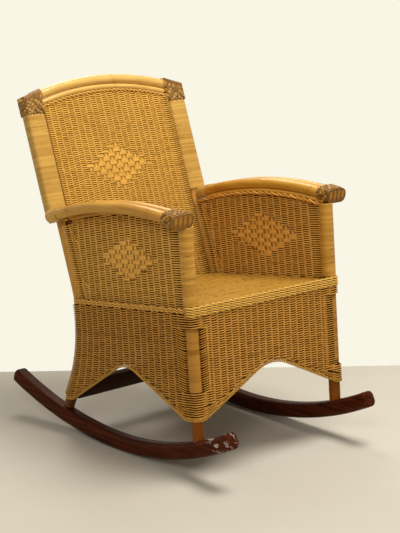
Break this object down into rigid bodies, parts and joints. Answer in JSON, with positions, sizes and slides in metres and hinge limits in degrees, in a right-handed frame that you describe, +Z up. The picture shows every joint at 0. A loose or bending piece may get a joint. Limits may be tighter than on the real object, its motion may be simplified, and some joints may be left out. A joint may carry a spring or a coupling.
{
  "type": "rocking chair",
  "caption": "Rattan rocking chair with woven back, arm panels and arched skirt on a pole frame, rolling on curved rockers.",
  "frame": {"origin": "middle of the footprint, on the floor, with the chair balanced on its rockers", "axes": "+Z up, +X across to the right as seen from the front, +Y to the rear; the sitter faces -Y"},
  "size_m": [0.5964, 0.9158, 0.9442],
  "materials": {
    "stained_wood": "satin varnish over a dark mahogany stain",
    "rattan_pole": "clear gloss varnish over honey rattan poles",
    "dark_pole": "satin varnish over dark rattan",
    "woven_cane": "varnished round-reed weave",
    "seat_cane": "close flat cane weave, varnished",
    "rattan_peel": "smooth pale peel, varnished",
    "braided_peel": "brown braided peel, varnished"
  },
  "bodies": {
    "root": {"back_panel": "woven_cane", "front_left_leg": "rattan_pole", "front_right_leg": "rattan_pole", "front_seat_braid": "woven_cane", "front_seat_rail": "rattan_pole", "front_skirt": "woven_cane", "front_skirt_hem": "woven_cane", "left_arm_front_binding": "braided_peel", "left_arm_inner_pole": "rattan_pole", "left_arm_outer_pole": "rattan_pole", "left_arm_panel": "woven_cane", "left_arm_rear_lashing": "rattan_peel", "left_back_pole": "rattan_pole", "left_back_wrap": "rattan_peel", "left_front_post_wrap": "rattan_peel", "left_rocker": "stained_wood", "left_seat_bearer": "rattan_pole", "left_seat_braid": "woven_cane", "left_seat_rail": "rattan_pole", "left_skirt": "woven_cane", "left_skirt_hem": "woven_cane", "left_under_arm_pole": "rattan_pole", "lower_top_bow": "rattan_pole", "rear_left_post": "rattan_pole", "rear_right_post": "rattan_pole", "rear_seat_rail": "rattan_pole", "rear_skirt": "woven_cane", "rear_stretcher": "dark_pole", "right_arm_front_binding": "braided_peel", "right_arm_inner_pole": "rattan_pole", "right_arm_outer_pole": "rattan_pole", "right_arm_panel": "woven_cane", "right_arm_rear_lashing": "rattan_peel", "right_back_pole": "rattan_pole", "right_back_wrap": "rattan_peel", "right_front_post_wrap": "rattan_peel", "right_rocker": "stained_wood", "right_seat_bearer": "rattan_pole", "right_seat_braid": "woven_cane", "right_seat_rail": "rattan_pole", "right_skirt": "woven_cane", "right_skirt_hem": "woven_cane", "right_under_arm_pole": "rattan_pole", "seat_deck": "seat_cane", "top_left_binding": "braided_peel", "top_right_binding": "braided_peel", "upper_top_bow": "rattan_pole"}
  },
  "joints": []
}
